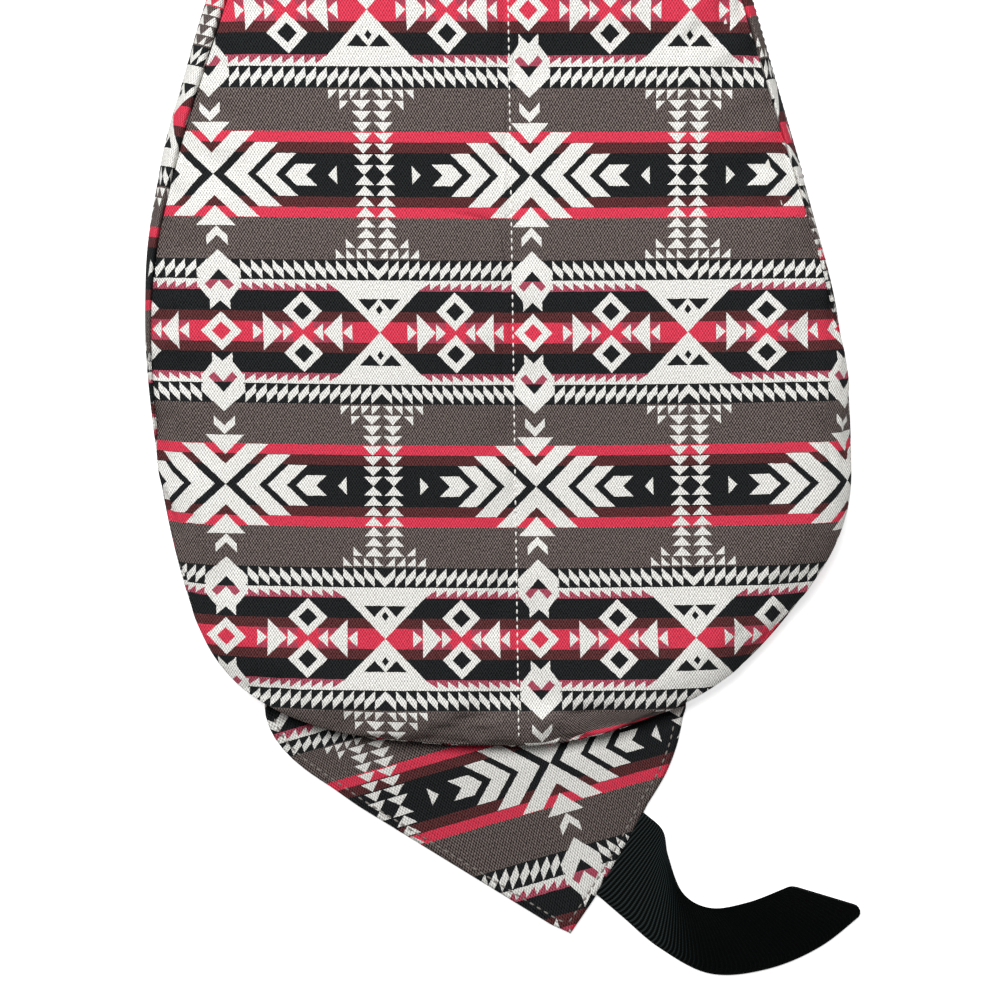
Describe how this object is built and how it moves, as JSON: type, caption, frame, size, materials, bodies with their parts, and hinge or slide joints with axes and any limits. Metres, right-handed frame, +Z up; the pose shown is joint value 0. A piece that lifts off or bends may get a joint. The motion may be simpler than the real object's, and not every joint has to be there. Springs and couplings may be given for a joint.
{
  "type": "rope sling bag",
  "caption": "Soft drop-shaped sling bag of printed canvas with a padded back, a side zip, a triangular strap tab with a webbing end, and a loop at the top for a shoulder rope.",
  "frame": {"origin": "on the resting face of the front panel, under the broad part of the bag", "axes": "+Z up out of the back panel, +Y along the bag toward the rope loop at its narrow top, +X to the zip side"},
  "size_m": [0.2928, 0.6178, 0.051],
  "materials": {
    "printed_canvas": "plain-weave cotton canvas with a banded geometric print in taupe, black, red and cream",
    "padding_foam": "soft closed foam sheet",
    "lining_cloth": "thin dark lining cloth",
    "black_webbing": "black ribbed nylon webbing",
    "zip_tape": "black herringbone zip tape",
    "zip_plastic": "moulded black zip teeth",
    "zip_metal": "dark coated zinc"
  },
  "bodies": {
    "bag": {"front_panel": "printed_canvas", "back_panel": "printed_canvas", "back_foam": "padding_foam", "back_lining": "lining_cloth", "gusset_left": "printed_canvas", "gusset_right": "printed_canvas", "zip_gusset_front": "printed_canvas", "zip_gusset_back": "printed_canvas", "wing_bottom": "printed_canvas", "wing_top": "printed_canvas", "zip_tape_back": "zip_tape", "zip_tape_front": "zip_tape", "zip_teeth_back": "zip_plastic", "zip_teeth_front": "zip_plastic", "zip_top_stop_back": "zip_metal", "zip_top_stop_front": "zip_metal", "zip_bottom_stop": "zip_metal", "webbing_tail": "black_webbing", "rope_loop": "black_webbing"},
    "slider": {"zip_slider": "zip_metal"},
    "pull": {"zip_pull": "zip_metal"}
  },
  "joints": [
    {"name": "zip_slide", "type": "slide", "parent": "bag", "child": "slider", "axis": [0.2786, -0.9604, 0], "range_m": [0, 0.186]},
    {"name": "pull_swing", "type": "hinge", "parent": "slider", "child": "pull", "pos_m": [0.07009, 0.28141, 0.02075], "axis": [0, 0, 1], "range_deg": [0, 165]}
  ]
}
